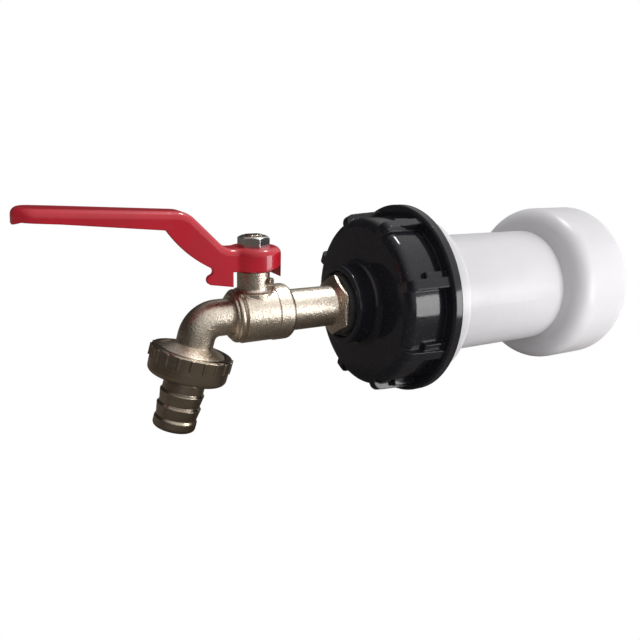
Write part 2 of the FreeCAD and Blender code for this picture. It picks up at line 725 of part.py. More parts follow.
def bend_edges(shape):
    """The two edges across the top, at the foot and at the head of the sloped arm."""
    def across(y, z):
        for number, edge in enumerate(shape.Edges, start=1):
            box = edge.BoundBox
            spread = [box.YMin + y.value, box.YMax + y.value, box.ZMin - z.value, box.ZMax - z.value]
            if max(abs(gap) for gap in spread) < NEAR:
                return number
        raise RuntimeError(f"no bend edge at {y.value}, {z.value}")
    return [(across(of.arm_foot, of.lever_top), of.inner_bend),
            (across(of.arm_head, of.grip_low), of.outer_bend)]


def neck_edges(shape):
    """The two upright edges where the hub runs into the arm."""
    hub = of.hub_radius.value
    arm = of.arm_half_width.value
    found = []
    for number, edge in enumerate(shape.Edges, start=1):
        foot = edge.valueAt(edge.FirstParameter)
        upright = abs(edge.tangentAt(edge.FirstParameter).z) > UPRIGHT
        on_arm = abs(abs(foot.x) - arm) < NEAR
        on_hub = abs(math.hypot(foot.x, foot.y) - hub) < NEAR
        if upright and on_arm and on_hub:
            found.append((number, of.lever_neck_round))
    return found


def rim_edges(shape):
    """Edges where the upward faces meet the upright sides."""
    count = {}
    for face in shape.Faces:
        u0, u1, v0, v1 = face.ParameterRange
        if face.normalAt((u0 + u1) / 2, (v0 + v1) / 2).z > UPWARD:
            for edge in face.Edges:
                count[edge.hashCode()] = count.get(edge.hashCode(), 0) + 1
    return [(number, of.lever_round) for number, edge in enumerate(shape.Edges, start=1)
            if count.get(edge.hashCode()) == 1]


def make_lever():
    flat = as_size(0)
    bent = rounded("arm_bent", arm_blank("arm", flat), bend_edges)
    joined = boolean("Part::MultiFuse", "lever_joined", [
        cut("hub_skirt", hub_blank("hub", flat), under_hub()), bent])
    joined.Refine = True
    necked = rounded("lever_necked", joined, neck_edges)
    smooth = rounded("lever_smooth", necked, rim_edges)
    hollow = boolean("Part::MultiFuse", "lever_hollow", [
        hub_blank("hub_hollow", of.lever_wall), arm_blank("arm_hollow", of.lever_wall)])
    walls = boolean("Part::MultiFuse", "lever_walls", [
        cut("lever_shell", smooth, hollow), stop_plate()])
    walls.Refine = True
    hole = extrusion("lever_hole", double_flat(
        new_sketch(None, "lever_hole_outline", "XY_Plane"),
        of.stem_thread_radius + of.running_clearance,
        of.stem_flats + of.running_clearance * 2), taller_than_lever)
    return place(cut("lever", walls, hole), along=stem_at)


def make_lever_nut():
    body = new_body("lever_nut")
    padded(body, "nut_hex", "XY_Plane", lambda sketch: outline(
        sketch, [(v, -u) for u, v in hexagon(of.nut_across)]), of.nut_height, lift=of.lever_top)
    inside = of.nut_top_radius
    far = of.nut_across / SQUARE_ROOT_3 + of.cut_over
    turned(body, "nut_bevel", "XZ_Plane", [
        (inside, nut_top), (far, nut_top - (far - inside) * of.nut_chamfer),
        (far, nut_top + of.cut_over), (inside, nut_top + of.cut_over)], "PartDesign::Groove")
    bore = of.stem_thread_radius + of.running_clearance
    low = of.lever_top - of.cut_over
    high = nut_top + of.cut_over
    turned(body, "nut_bore", "XZ_Plane", [
        (as_size(0), low), (bore, low), (bore, high), (as_size(0), high)],
        "PartDesign::Groove")
    return place(body, along=stem_at)


# ---------------------------------------------------------------- spout and union
tilt = of.outlet_tilt
elbow_end_y = -(of.elbow_start + of.elbow_radius * cosine(tilt))
elbow_end_z = -(of.elbow_radius * (as_size(1) - sine(tilt)))
outlet_y = elbow_end_y - of.outlet_drop * sine(tilt)
outlet_z = elbow_end_z - of.outlet_drop * cosine(tilt)


def outlet_place(body):
    """A piece drawn with the outlet's axis as its own upright axis, flow downwards."""
    return place(body, along=stem_at + outlet_y, up=outlet_z,
                 axis=FreeCAD.Vector(-1, 0, 0), angle=tilt)


def elbow_path(body, name, start, end_drop):
    """Straight run along the flow, bend, and straight run along the outlet's axis."""
    sketch = new_sketch(body, name, "YZ_Plane")
    return outline(sketch, [
        (start, as_size(0)),
        (-of.elbow_start, as_size(0), of.elbow_radius, "right"),
        (elbow_end_y, elbow_end_z),
        (elbow_end_y - end_drop * sine(tilt), elbow_end_z - end_drop * cosine(tilt)),
    ], closed=False)


def make_spout():
    body = new_body("spout")
    plug_end = -of.ball_radius
    plug_face = nose_face + of.lip_thickness
    head_end = of.outlet_drop + of.outlet_head_length
    pipe = body.newObject("PartDesign::AdditivePipe", "spout_pipe")
    pipe.Profile = circle(new_sketch(body, "spout_round", "XZ_Plane", lift=-plug_end),
                          of.spout_radius)
    pipe.Spine = elbow_path(body, "spout_path", plug_end, head_end)
    turned(body, "spout_plug", "XY_Plane", [
        (as_size(0), plug_end), (of.ball_pocket - of.running_clearance, plug_end),
        (of.ball_pocket - of.running_clearance, plug_face), (as_size(0), plug_face)])
    head = outline(new_sketch(body, "outlet_head_profile", "YZ_Plane"), slanted([
        (as_size(0), -of.outlet_cone), (of.spout_radius, -of.outlet_cone),
        (of.outlet_head_radius - of.outlet_head_edge, as_size(0)),
        (of.outlet_head_radius, of.outlet_head_edge),
        (of.outlet_head_radius, of.outlet_head_flange),
        (of.outlet_thread_root, of.outlet_head_flange),
        (of.outlet_thread_root, of.outlet_head_length),
        (as_size(0), of.outlet_head_length)]))
    turn = body.newObject("PartDesign::Revolution", "outlet_head")
    turn.Profile = head
    turn.ReferenceAxis = (head, ["Edge8"])
    turn.Angle = 360
    bore = body.newObject("PartDesign::SubtractivePipe", "spout_bore")
    bore_start = plug_end + of.cut_over
    bore.Profile = circle(new_sketch(body, "bore_round", "XZ_Plane", lift=-bore_start),
                          of.spout_radius - of.spout_wall)
    bore.Spine = elbow_path(body, "bore_path", bore_start, head_end + of.cut_over)
    return place(body, along=stem_at)


def slanted(corners):
    """Turn (radius, distance down the outlet's axis) into the upright plane of the flow."""
    return [(outlet_y + r * cosine(tilt) - down * sine(tilt),
             outlet_z - r * sine(tilt) - down * cosine(tilt)) for r, down in corners]


def make_union_nut():
    body = new_body("union_nut")
    bore = of.outlet_head_radius + of.union_clearance
    shoulder = of.union_height - of.union_shoulder
    hole = of.tail_neck_radius + of.tail_clearance
    low_radius = of.union_radius - of.union_taper
    turned(body, "union_shell", "XZ_Plane", [
        (bore, as_size(0)), (of.union_radius - of.union_rim / 2, as_size(0)),
        (of.union_radius, -of.union_rim / 2),
        (low_radius, -(of.union_height - of.union_round), of.union_round, "left"),
        (low_radius - of.union_round, -of.union_height),
        (hole, -of.union_height), (hole, -shoulder), (bore, -shoulder)])
    half = of.union_rib_width / 2
    rib_out = of.union_radius + of.union_rib_height
    rib_in = of.union_radius - of.union_rib_root
    rib = padded(body, "knurl_rib", "XY_Plane", lambda sketch: outline(sketch, [
        (rib_in, -half), (rib_out - half, -half, half * NEARLY_HALF_ROUND, "right"),
        (rib_out - half, half), (rib_in, half)]),
        of.union_rib_length, lift=-(of.union_rim / 2 + of.union_rib_length))
    polar(body, "knurl", [rib], "Z_Axis", of.union_rib_count)
    return outlet_place(body)


gasket_low = of.outlet_head_length + of.hose_gasket_thickness
tail_flange_low = gasket_low + of.tail_flange_thickness


def make_hose_tail():
    body = new_body("hose_tail")
    neck_low = tail_flange_low + of.tail_neck_length + of.union_shoulder
    corners = [
        (of.tail_bore, -gasket_low), (of.tail_flange_radius, -gasket_low),
        (of.tail_flange_radius, -tail_flange_low), (of.tail_neck_radius, -tail_flange_low),
        (of.tail_neck_radius, -neck_low)]
    barbs = int(SIZES["barb_count"])
    for turn in range(barbs - 1):
        top = neck_low + of.barb_pitch * turn
        corners += [(of.barb_radius, -(top + of.barb_lead)),
                    (of.barb_root, -(top + of.barb_pitch))]
    last = neck_low + of.barb_pitch * (barbs - 1)
    spigot_low = last + of.barb_lead + of.spigot_length
    corners += [
        (of.spigot_radius, -(last + of.barb_lead)),
        (of.spigot_radius, -spigot_low, of.tail_end_round, "left"),
        (of.spigot_radius - of.tail_end_round, -(spigot_low + of.tail_end_round)),
        (of.tail_bore, -(spigot_low + of.tail_end_round))]
    turned(body, "tail_shell", "XZ_Plane", corners)
    return outlet_place(body)


def make_rings():
    """Gaskets, packing and the moulded-in insert: plain rings."""
    stem_hole = of.stem_radius + of.running_clearance
    washer_low = of.stem_collar_height + of.stem_collar_thickness
    washer_top = washer_low + of.stem_washer_thickness
    return [
        ring("tank_gasket", of.tank_gasket_radius - of.tank_gasket_width, of.tank_gasket_radius,
             gasket_face - of.tank_gasket_thickness, gasket_face, "XY_Plane"),
        ring("cap_gasket", of.tube_bore, of.cap_bore - of.cap_gasket_clearance, cap_floor,
             male_end, "XY_Plane"),
        ring("insert", of.inlet_thread_radius + of.thread_clearance, of.insert_radius,
             recess_floor, recess_floor + of.insert_length, "XY_Plane"),
        ring("inlet_washer", of.inlet_thread_radius + of.thread_clearance,
             of.inlet_washer_radius, hex_back, recess_floor, "XY_Plane"),
        ring("stem_washer", stem_hole, of.packing_radius, washer_low, washer_top,
             "XZ_Plane", along=stem_at),
        ring("stem_packing", stem_hole, of.packing_radius, washer_top,
             washer_top + of.packing_thickness, "XZ_Plane", along=stem_at),
        outlet_place(ring("hose_gasket", of.tail_flange_radius - of.hose_gasket_width,
                          of.tail_flange_radius, -gasket_low, -of.outlet_head_length,
                          "XZ_Plane")),
    ]


# ---------------------------------------------------------------- build, check and write
pieces = [make_extension_tube(), make_cap_nut(), make_valve_body(), make_ball(),
          make_seat("seat_inlet", 1), make_seat("seat_outlet", -1), make_stem(),
          make_gland_nut(), make_lever(), make_lever_nut(), make_spout(), make_union_nut(),
          make_hose_tail()] + make_rings()
doc.recompute()

faults = [f"{item.Name}: {item.State}" for item in doc.Objects
          if "Invalid" in item.State or "Error" in item.State]
faults += [f"{piece.Label}: bad shape" for piece in pieces
           if piece.Shape.isNull() or not piece.Shape.isValid()]
if faults:
    raise RuntimeError("; ".join(faults))
for piece in pieces:
    piece.Shape.exportStep(f"parts/{piece.Label}.step")
    box = piece.Shape.BoundBox
    print(f"{piece.Label:16s} {len(piece.Shape.Solids)} {piece.Shape.Volume:9.1f} "
          f"x {box.XMin:7.1f} {box.XMax:7.1f} y {box.YMin:7.1f} {box.YMax:7.1f} "
          f"z {box.ZMin:6.1f} {box.ZMax:6.1f}")
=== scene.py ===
"""Looks of a bulk tank outlet valve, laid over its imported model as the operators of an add-on."""

import json
import math

import bpy
import numpy as np
from bpy.props import FloatProperty, FloatVectorProperty, PointerProperty
from mathutils import Matrix, Vector


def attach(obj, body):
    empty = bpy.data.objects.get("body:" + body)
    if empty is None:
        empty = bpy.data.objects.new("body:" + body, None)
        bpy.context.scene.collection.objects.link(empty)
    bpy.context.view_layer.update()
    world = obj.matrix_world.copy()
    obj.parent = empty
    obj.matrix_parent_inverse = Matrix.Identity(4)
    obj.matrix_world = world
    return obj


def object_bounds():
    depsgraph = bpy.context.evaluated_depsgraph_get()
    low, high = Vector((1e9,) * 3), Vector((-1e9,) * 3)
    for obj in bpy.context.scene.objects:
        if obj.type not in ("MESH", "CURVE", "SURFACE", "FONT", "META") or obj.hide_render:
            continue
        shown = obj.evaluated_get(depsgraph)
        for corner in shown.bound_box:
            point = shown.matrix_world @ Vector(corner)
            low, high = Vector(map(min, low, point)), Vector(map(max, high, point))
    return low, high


bl_info = {
    "name": "Tank Outlet Valve",
    "version": (1, 0, 0),
    "blender": (4, 5, 0),
    "location": "3D View > Sidebar > Tank Valve",
    "description": "Finishes, screw threads and studio of a bulk tank outlet valve",
    "category": "Object",
}

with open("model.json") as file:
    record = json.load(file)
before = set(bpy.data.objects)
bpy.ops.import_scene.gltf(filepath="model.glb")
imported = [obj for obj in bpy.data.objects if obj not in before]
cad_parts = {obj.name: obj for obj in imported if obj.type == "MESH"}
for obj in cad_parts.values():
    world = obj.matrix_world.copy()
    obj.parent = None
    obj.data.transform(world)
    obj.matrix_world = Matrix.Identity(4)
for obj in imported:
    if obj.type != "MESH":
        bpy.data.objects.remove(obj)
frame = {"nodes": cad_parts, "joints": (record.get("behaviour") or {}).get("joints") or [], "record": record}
CAD_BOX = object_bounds()
NODES = frame["nodes"]
JOINTS = {joint["name"]: joint for joint in frame["joints"]}
MM = 0.001
CLOSE = 0.01 * MM
FULL_TURN = 2 * math.pi

# screw ridges, as parts of the pitch: widths of the tank thread and of the mating pairs at
# the foot and the top, and the plain wall left at the shoulder and at the tip
SOCKET_FOOT, SOCKET_TOP = 0.62, 0.30
PAIR_FOOT, PAIR_TOP = 0.44, 0.18
PLAIN_AT_SHOULDER, PLAIN_AT_TIP = 0.20, 0.07
PLAIN_IN_SOCKET = 0.6 * MM
# how deep a ridge sinks into its wall, and where its flank starts to round over to the top
SUNK = 0.12 * MM
FLANK_END, FLANK_SPREAD, TOP_HALF = 0.86, 0.12, 0.36

# the studio: what reflections see of it, and the upright light beside the cap
SOFT_LIGHT_WAY = (0.45, 0.62, 0.64)
DARK_ROOM = (0.035, 0.030, 0.026, 1)
LIGHT_ROOM = (1.20, 1.18, 1.16, 1)
DARK_FLOOR = (0.16, 0.140, 0.12, 1)
HALF_FLOOR = 6.0
CAP_SIDE = (0.037, -0.118, 0.0)
WINDOW_PLACE = (0.187, 0.014, 0.010)
WINDOW_SIZE = (0.12, 0.085)
OVERHEAD_OFFSET = Vector((-0.05, 0.34, 0.78))
OVERHEAD_SIZE = (0.15, 0.15)


# ---------------------------------------------------------------- settings
def colour(name, description, value):
    """A colour that the user may change."""
    return FloatVectorProperty(name=name, description=description, default=value,
                               subtype="COLOR", size=3, min=0, max=1)


def length(name, description, value):
    """A length that the user may change, in metres."""
    return FloatProperty(name=name, description=description, default=value, unit="LENGTH",
                         precision=5)


def share(name, description, value):
    """A number between nothing and all."""
    return FloatProperty(name=name, description=description, default=value, min=0, max=1)


class PlasticSettings(bpy.types.PropertyGroup):
    """Colours and skins of the moulded plastic and rubber."""

    white: colour("White", "Natural white plastic of the extension tube", (0.59, 0.58, 0.60))
    white_roughness: share("White roughness", "How dull the white plastic is", 0.34)
    black: colour("Black", "Black plastic of the screw cap", (0.012, 0.012, 0.0155))
    black_roughness: share("Black roughness", "How dull the black plastic is", 0.08)
    rubber: colour("Rubber", "Black rubber of the gaskets", (0.022, 0.022, 0.023))
    ptfe: colour("PTFE", "White seats, washer and packing", (0.86, 0.86, 0.83))


class MetalSettings(bpy.types.PropertyGroup):
    """Colours and surfaces of the plated castings, the turned parts and the nuts."""

    cast: colour("Cast nickel", "Nickel plating over the sand-cast body and spout",
                 (0.79, 0.705, 0.60))
    cast_roughness: share("Cast roughness", "How dull the castings are", 0.27)
    grain: length("Grain", "Width of the sand grains left in the castings", 0.55 * MM)
    turned: colour("Turned nickel", "Nickel plating over the union nut and the hose tail",
                   (0.45, 0.395, 0.335))
    turned_roughness: share("Turned roughness", "How dull the turned parts are", 0.15)
    zinc: colour("Zinc", "Bright zinc plating of the lever's nut", (0.70, 0.70, 0.71))
    brass: colour("Brass", "Bare brass of the insert", (0.72, 0.52, 0.22))


class PaintSettings(bpy.types.PropertyGroup):
    """The lever's paint."""

    red: colour("Red", "Gloss paint of the lever", (0.54, 0.010, 0.028))
    roughness: share("Roughness", "How dull the paint is under its gloss", 0.30)


class ThreadSettings(bpy.types.PropertyGroup):
    """Screw threads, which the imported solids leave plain."""

    socket_pitch: length("Tank thread pitch", "Rise in one turn of the tank thread", 6.0 * MM)
    socket_depth: length("Tank thread depth", "Height of the tank thread's ridge", 2.4 * MM)
    cap_pitch: length("Cap thread pitch", "Rise in one turn of the cap's thread", 6.0 * MM)
    cap_gap: length("Cap thread gap", "Room between a ridge and the wall across", 0.3 * MM)
    union_pitch: length("Union thread pitch", "Rise in one turn of the union's thread",
                        1.814 * MM)
    union_gap: length("Union thread gap", "Room between a ridge and the wall across", 0.15 * MM)


class StudioSettings(bpy.types.PropertyGroup):
    """Floor, lights and camera."""

    camera_place: FloatVectorProperty(name="Camera place", description="Where the camera stands",
                                      default=(0.229035, -0.279457, 0.067726), subtype="XYZ",
                                      unit="LENGTH", precision=4)
    azimuth: FloatProperty(name="Azimuth", description="Way the camera looks, from +Y towards -X",
                           default=math.radians(60.21), subtype="ANGLE")
    elevation: FloatProperty(name="Elevation", description="How far the camera looks down",
                             default=math.radians(15.61), subtype="ANGLE")
    roll: FloatProperty(name="Roll", description="Turn of the camera about its line of sight",
                        default=math.radians(1.83), subtype="ANGLE")
    lens: FloatProperty(name="Lens", description="Focal length in mm on a 36 mm wide sensor",
                        default=35.94)
    floor: colour("Floor", "Light that the pale floor throws back", (0.62, 0.61, 0.60))
    room: share("Room", "Even light from all sides", 0.60)
    overhead: FloatProperty(name="Overhead power", description="Soft light above", default=3.0,
                            unit="POWER")
    window: FloatProperty(name="Window power", description="Upright light beside the cap",
                          default=0.27, unit="POWER")


class ValveSettings(bpy.types.PropertyGroup):
    """All settings of the valve, kept on the scene."""

    plastic: PointerProperty(type=PlasticSettings)
    metal: PointerProperty(type=MetalSettings)
    paint: PointerProperty(type=PaintSettings)
    thread: PointerProperty(type=ThreadSettings)
    studio: PointerProperty(type=StudioSettings)


# ---------------------------------------------------------------- node trees
class Tree:
    """A node tree being wired: add places a node whose inputs take values or other sockets."""

    def __init__(self, tree):
        self.tree = tree

    def add(self, kind, inputs=None, **settings):
        node = self.tree.nodes.new(kind)
        for name, value in settings.items():
            setattr(node, name, value)
        for name, value in (inputs or {}).items():
            socket = node.inputs[name]
            if isinstance(value, bpy.types.NodeSocket):
                self.tree.links.new(value, socket)
            else:
                socket.default_value = value
        return node

    def sum_up(self, operation, first, second, clamp=False):
        """One step of arithmetic on two values or sockets."""
        node = self.add("ShaderNodeMath", {0: first, 1: second}, operation=operation,
                        use_clamp=clamp)
        return node.outputs[0]

    def spread(self, value, low, high, to_low=0.0, to_high=1.0):
        """Stretch the part of a value between low and high over a new range, ends held."""
        node = self.add("ShaderNodeMapRange", {
            "Value": value, "From Min": low, "From Max": high, "To Min": to_low,
            "To Max": to_high})
        return node.outputs["Result"]

    def mixed(self, share_of_second, first, second):
        """Blend two colours."""
        node = self.add("ShaderNodeMix", {0: share_of_second, 6: first, 7: second},
                        data_type="RGBA")
        return node.outputs[2]


def rgba(shade, factor=1.0):
    return (*[min(1.0, channel * factor) for channel in shade], 1.0)


def start_group(name, inputs, outputs):
    """A shader node group with named sockets; returns its tree, its input and output nodes."""
    group = bpy.data.node_groups.new(name, "ShaderNodeTree")
    for socket, kind, value in inputs:
        made = group.interface.new_socket(name=socket, in_out="INPUT", socket_type=kind)
        if value is not None:
            made.default_value = value
    for socket, kind in outputs:
        group.interface.new_socket(name=socket, in_out="OUTPUT", socket_type=kind)
    tree = Tree(group)
    return tree, tree.add("NodeGroupInput").outputs, tree.add("NodeGroupOutput")


def noise(tree, vector, scale, detail=2.0, roughness=0.5):
    node = tree.add("ShaderNodeTexNoise", {"Vector": vector, "Scale": scale, "Detail": detail,
                                           "Roughness": roughness})
    return node.outputs["Fac"]


def make_sand_grain():
    """Sand-cast skin: fine lumps over broader waves, and a mask of the low pits between the grains, into
    which shade is painted.
    """
    tree, given, out = start_group(
        "sand_grain", [("Vector", "NodeSocketVector", None), ("Width", "NodeSocketFloat", 0.001)],
        [("Height", "NodeSocketFloat"), ("PitShade", "NodeSocketFloat")])
    per_metre = tree.sum_up("DIVIDE", 1.0, given["Width"])
    fine = noise(tree, given["Vector"], per_metre, 3.0, 0.6)
    broad = noise(tree, given["Vector"], tree.sum_up("MULTIPLY", per_metre, 0.3), 2.0)
    both = tree.sum_up("ADD", tree.sum_up("MULTIPLY", fine, 0.65),
                       tree.sum_up("MULTIPLY", broad, 0.35))
    tree.tree.links.new(both, out.inputs["Height"])
    # the pit mask: where the fine lumps are low, for painted shade in the pits
    tree.tree.links.new(tree.spread(fine, 0.52, 0.36), out.inputs["PitShade"])
    return tree.tree


def make_handling_marks():
    """Smudges from hands and dust: broad cloudy patches broken up by finer ones."""
    tree, given, out = start_group(
        "handling_marks", [("Vector", "NodeSocketVector", None),
                           ("Width", "NodeSocketFloat", 0.02)],
        [("Mask", "NodeSocketFloat"), ("Specks", "NodeSocketFloat")])
    per_metre = tree.sum_up("DIVIDE", 1.0, given["Width"])
    patches = noise(tree, given["Vector"], per_metre, 4.0, 0.6)
    specks = noise(tree, given["Vector"], tree.sum_up("MULTIPLY", per_metre, 30.0), 1.0)
    tree.tree.links.new(tree.spread(patches, 0.40, 0.66), out.inputs["Mask"])
    tree.tree.links.new(tree.spread(specks, 0.68, 0.76), out.inputs["Specks"])
    return tree.tree


def make_lathe_rings():
    """Turning marks: rings along the Z of the given vector, unevenly spaced and deep."""
    tree, given, out = start_group(
        "lathe_rings", [("Vector", "NodeSocketVector", None),
                        ("Spacing", "NodeSocketFloat", 0.0004)],
        [("Height", "NodeSocketFloat")])
    along = tree.add("ShaderNodeSeparateXYZ", {"Vector": given["Vector"]}).outputs["Z"]
    rings = tree.add("ShaderNodeTexNoise", {
        "W": tree.sum_up("DIVIDE", along, given["Spacing"]), "Scale": 1.0, "Detail": 2.0},
        noise_dimensions="1D")
    tree.tree.links.new(rings.outputs["Fac"], out.inputs["Height"])
    return tree.tree


def make_worn_edges():
    """Rubbed edges: where a rounded normal leaves the true one, broken up by noise."""
    tree, given, out = start_group(
        "worn_edges", [("Vector", "NodeSocketVector", None),
                       ("Width", "NodeSocketFloat", 0.0004)],
        [("Mask", "NodeSocketFloat"), ("Normal", "NodeSocketVector")])
    soft = tree.add("ShaderNodeBevel", {"Radius": given["Width"]}, samples=4).outputs["Normal"]
    true = tree.add("ShaderNodeNewGeometry").outputs["Normal"]
    agree = tree.add("ShaderNodeVectorMath", {0: soft, 1: true},
                     operation="DOT_PRODUCT").outputs["Value"]
    edge = tree.spread(agree, 0.995, 0.90)
    broken = tree.spread(noise(tree, given["Vector"], 900.0, 3.0), 0.38, 0.62, 0.35, 1.0)
    tree.tree.links.new(tree.sum_up("MULTIPLY", edge, broken), out.inputs["Mask"])
    tree.tree.links.new(soft, out.inputs["Normal"])
    return tree.tree


GROUP_MAKERS = {
    "sand_grain": make_sand_grain,
    "handling_marks": make_handling_marks,
    "lathe_rings": make_lathe_rings,
    "worn_edges": make_worn_edges,
}


class Finish:
    """A material being made: its tree, its shader and its object coordinates."""

    def __init__(self, name):
        self.material = bpy.data.materials.new(name)
        self.material.use_nodes = True
        self.tree = Tree(self.material.node_tree)
        self.shader = self.material.node_tree.nodes["Principled BSDF"]
        self.place = self.tree.add("ShaderNodeTexCoord").outputs["Object"]

    def fix(self, **inputs):
        """Set the shader's own sockets; underscores stand for spaces."""
        for name, value in inputs.items():
            self.shader.inputs[name.replace("_", " ")].default_value = value

    def wire(self, name, socket):
        self.tree.tree.links.new(socket, self.shader.inputs[name])

    def effect(self, name, **inputs):
        """Place a shared effect and return its outputs."""
        group = bpy.data.node_groups.get(name) or GROUP_MAKERS[name]()
        return self.tree.add("ShaderNodeGroup", {"Vector": self.place, **inputs},
                             node_tree=group).outputs

    def bump(self, height, distance, strength=1.0, normal=None):
        inputs = {"Height": height, "Distance": distance, "Strength": strength}
        if normal is not None:
            inputs["Normal"] = normal
        return self.tree.add("ShaderNodeBump", inputs).outputs["Normal"]

    def turned_to(self, axis, origin):
        """Object coordinates moved to origin and turned so that their Z runs along axis."""
        turn = Vector(axis).rotation_difference(Vector((0, 0, 1))).to_matrix()
        shift = -(turn @ Vector(origin))
        node = self.tree.add("ShaderNodeMapping", {
            "Vector": self.place, "Location": shift, "Rotation": turn.to_euler()},
            vector_type="POINT")
        return node.outputs["Vector"]


def dress(material, *nodes):
    """Give CAD nodes a material."""
    for name in nodes:
        for slot in NODES[name].material_slots:
            slot.material = material


# ---------------------------------------------------------------- finishes
def white_plastic(settings):
    """Natural polyethylene: milky, satin, faintly mottled, with a few specks of dust."""
    finish = Finish("white_plastic")
    marks = finish.effect("handling_marks", Width=0.03)
    edges = finish.effect("worn_edges", Width=0.6 * MM)
    mottled = finish.tree.mixed(marks["Mask"], rgba(settings.white), rgba(settings.white, 0.965))
    finish.wire("Base Color", finish.tree.mixed(marks["Specks"], mottled,
                                                rgba(settings.white, 0.93)))
    finish.wire("Roughness", finish.tree.spread(marks["Mask"], 0, 1, settings.white_roughness,
                                                settings.white_roughness + 0.08))
    skin = noise(finish.tree, finish.place, 260.0, 3.0)
    finish.wire("Normal", finish.bump(skin, 0.10 * MM, 0.6, edges["Normal"]))
    finish.fix(Subsurface_Weight=0.45, Subsurface_Radius=(1.0, 0.95, 1.05),
               Subsurface_Scale=9 * MM, IOR=1.50, Specular_IOR_Level=0.45)
    return finish.material


def black_plastic(settings):
    """Glossy moulded cap: slight ripple, rubbed edges and a film of dust."""
    finish = Finish("black_plastic")
    marks = finish.effect("handling_marks", Width=0.018)
    edges = finish.effect("worn_edges", Width=0.8 * MM)
    dusty = finish.tree.mixed(marks["Specks"], rgba(settings.black), rgba(settings.black, 5.0))
    finish.wire("Base Color", finish.tree.mixed(
        finish.tree.sum_up("MULTIPLY", edges["Mask"], 0.45), dusty, rgba(settings.black, 4.0)))
    finish.wire("Roughness", finish.tree.spread(marks["Mask"], 0, 1, settings.black_roughness,
                                                settings.black_roughness + 0.10))
    ripple = noise(finish.tree, finish.place, 190.0, 2.0)
    finish.wire("Normal", finish.bump(ripple, 0.09 * MM, 0.7, edges["Normal"]))
    finish.fix(IOR=1.53, Specular_IOR_Level=0.30)
    return finish.material


def cast_nickel(settings):
    """Nickel over a sand casting: grain, painted shade darkening the pits, brighter rubbed edges."""
    finish = Finish("cast_nickel")
    grain = finish.effect("sand_grain", Width=settings.grain)
    marks = finish.effect("handling_marks", Width=0.012)
    edges = finish.effect("worn_edges", Width=0.45 * MM)
    # painted shade: the colour darkens to 40 per cent in the grain's pits, where shade would fall
    pit_shaded = finish.tree.mixed(finish.tree.sum_up("MULTIPLY", grain["PitShade"], 0.70),
                               rgba(settings.cast), rgba(settings.cast, 0.40))
    stained = finish.tree.mixed(finish.tree.sum_up("MULTIPLY", marks["Mask"], 0.35), pit_shaded,
                                (0.56, 0.48, 0.38, 1.0))
    finish.wire("Base Color", finish.tree.mixed(
        finish.tree.sum_up("MULTIPLY", edges["Mask"], 0.6), stained, rgba(settings.cast, 1.25)))
    finish.wire("Roughness", finish.tree.spread(grain["Height"], 0.35, 0.65,
                                                settings.cast_roughness + 0.10,
                                                settings.cast_roughness - 0.04))
    finish.wire("Normal", finish.bump(grain["Height"], 0.22 * MM, 1.0, edges["Normal"]))
    finish.fix(Metallic=1.0)
    return finish.material


def turned_nickel(settings):
    """Nickel over turned brass: rings round the outlet's axis, brown stains in patches."""
    finish = Finish("turned_nickel")
    union = JOINTS["union_turn"]
    rings = finish.effect("lathe_rings", Vector=finish.turned_to(union["axis"], union["pos_m"]),
                          Spacing=0.35 * MM)
    marks = finish.effect("handling_marks", Width=0.009)
    edges = finish.effect("worn_edges", Width=0.35 * MM)
    stained = finish.tree.mixed(finish.tree.sum_up("MULTIPLY", marks["Mask"], 0.7),
                                rgba(settings.turned), (0.34, 0.27, 0.18, 1.0))
    finish.wire("Base Color", finish.tree.mixed(edges["Mask"], stained,
                                                rgba(settings.turned, 1.6)))
    finish.wire("Roughness", finish.tree.spread(marks["Mask"], 0, 1, settings.turned_roughness,
                                                settings.turned_roughness + 0.12))
    finish.wire("Normal", finish.bump(rings["Height"], 0.05 * MM, 0.8, edges["Normal"]))
    finish.fix(Metallic=1.0)
    return finish.material


def red_paint(settings):
    """Thick gloss paint over pressed steel: orange peel, thinner and darker on the edges."""
    finish = Finish("red_paint")
    marks = finish.effect("handling_marks", Width=0.020)
    edges = finish.effect("worn_edges", Width=0.7 * MM)
    cloudy = finish.tree.mixed(marks["Mask"], rgba(settings.red), rgba(settings.red, 0.84))
    finish.wire("Base Color", finish.tree.mixed(
        finish.tree.sum_up("MULTIPLY", edges["Mask"], 0.35), cloudy, rgba(settings.red, 0.6)))
    finish.wire("Roughness", finish.tree.spread(marks["Mask"], 0, 1, settings.roughness,
                                                settings.roughness + 0.10))
    peel = noise(finish.tree, finish.place, 420.0, 2.0)
    finish.wire("Normal", finish.bump(peel, 0.06 * MM, 0.5, edges["Normal"]))
    finish.fix(Coat_Weight=0.50, Coat_Roughness=0.07, Coat_IOR=1.5, Specular_IOR_Level=0.30)
    return finish.material


def bright_zinc(settings):
    """Zinc-plated nut: brushed a little, with cloudy patches and bright corners."""
    finish = Finish("bright_zinc")
    rings = finish.effect("lathe_rings", Spacing=0.25 * MM)
    marks = finish.effect("handling_marks", Width=0.006)
    edges = finish.effect("worn_edges", Width=0.35 * MM)
    cloudy = finish.tree.mixed(marks["Mask"], rgba(settings.zinc), rgba(settings.zinc, 0.72))
    finish.wire("Base Color", finish.tree.mixed(edges["Mask"], cloudy, rgba(settings.zinc, 1.3)))
    finish.wire("Roughness", finish.tree.spread(marks["Mask"], 0, 1, 0.20, 0.34))
    finish.wire("Normal", finish.bump(rings["Height"], 0.02 * MM, 0.5, edges["Normal"]))
    finish.fix(Metallic=1.0)
    return finish.material


